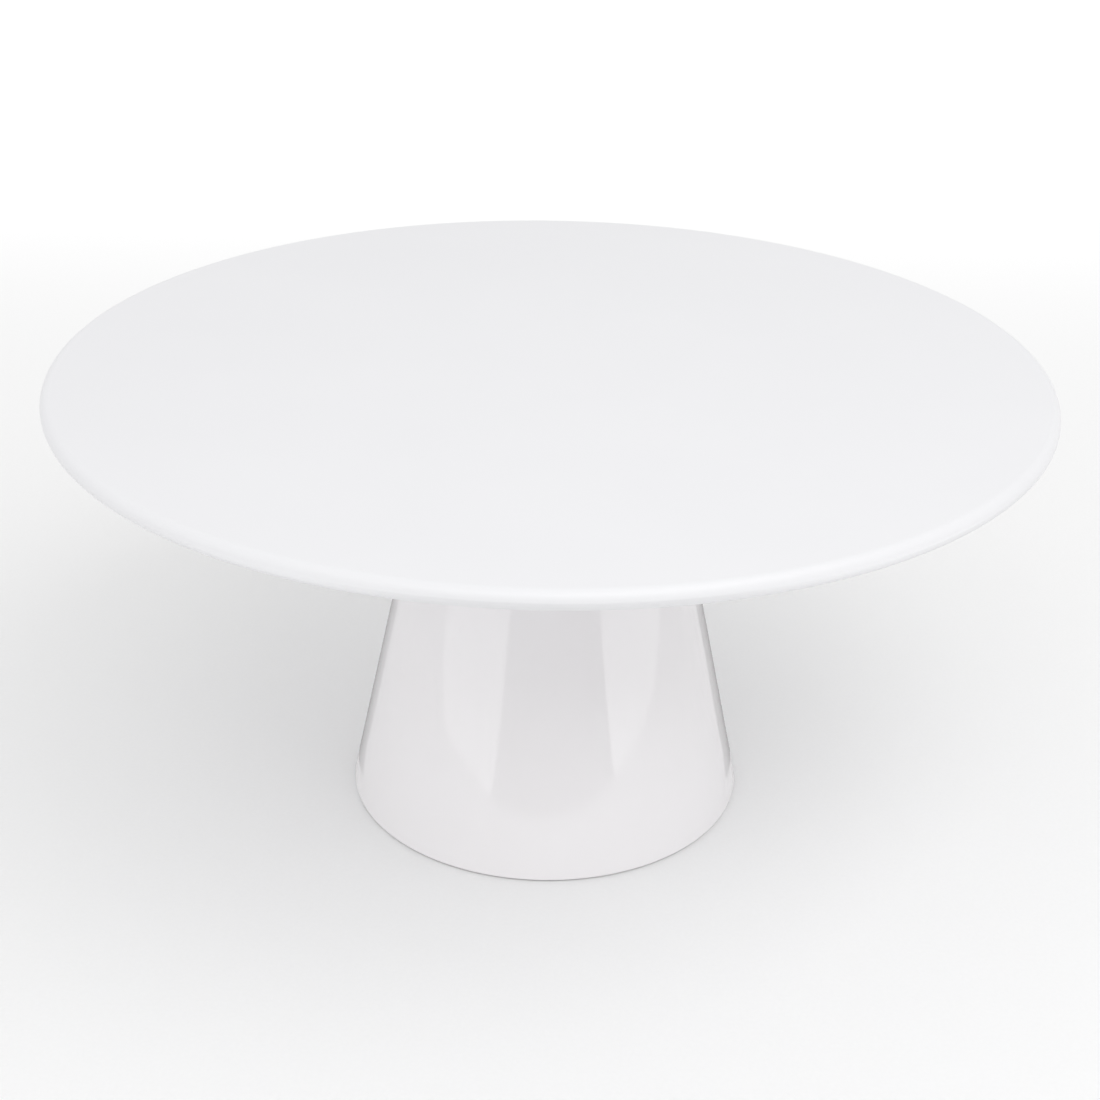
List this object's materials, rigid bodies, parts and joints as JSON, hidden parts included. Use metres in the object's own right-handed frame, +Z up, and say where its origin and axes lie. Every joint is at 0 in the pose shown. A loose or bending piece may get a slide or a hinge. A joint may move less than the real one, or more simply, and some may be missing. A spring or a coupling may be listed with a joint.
{
  "type": "cake stand",
  "caption": "White revolving cake stand: a flat, rimless round plate turns on a ball bearing at the top of a plain, hollow conical pedestal.",
  "frame": {"origin": "centre of the stand's footprint: on the spindle's axis, level with the faces of the feet", "axes": "+Z up along the spindle's axis; +X and +Y through two of the four cover screws"},
  "size_m": [0.3099, 0.31, 0.15],
  "materials": {
    "plate_satin_white": "satin, very fine moulded texture",
    "pedestal_gloss_white": "high gloss",
    "cover_white": "fine moulded texture",
    "ground_steel": "ground",
    "ball_steel": "polished",
    "zinc_steel": "zinc plated",
    "spring_steel": "black phosphate",
    "cage_nylon": "natural nylon",
    "bush_acetal": "natural acetal",
    "foot_rubber": "soft, matt"
  },
  "bodies": {
    "base": {"pedestal_shell": "pedestal_gloss_white", "lower_race": "ground_steel", "upper_bush": "bush_acetal", "lower_bush": "bush_acetal", "base_cover": "cover_white", "cover_screws": "zinc_steel", "foot_pads": "foot_rubber"},
    "ball_set": {"ball_cage": "cage_nylon", "bearing_balls": "ball_steel"},
    "turntable": {"turntable_plate": "plate_satin_white", "spindle": "ground_steel", "upper_race": "ground_steel", "thrust_washer": "bush_acetal", "retaining_clip": "spring_steel"}
  },
  "joints": [
    {"name": "plate_spin", "type": "hinge", "parent": "base", "child": "turntable", "pos_m": [0, 0, 0.144], "axis": [0, 0, 1], "continuous": true},
    {"name": "cage_spin", "type": "hinge", "parent": "base", "child": "ball_set", "pos_m": [0, 0, 0.13945], "axis": [0, 0, 1], "continuous": true}
  ],
  "couplings": [
    {"joint": "cage_spin", "follows": "plate_spin", "ratio": 0.5}
  ]
}
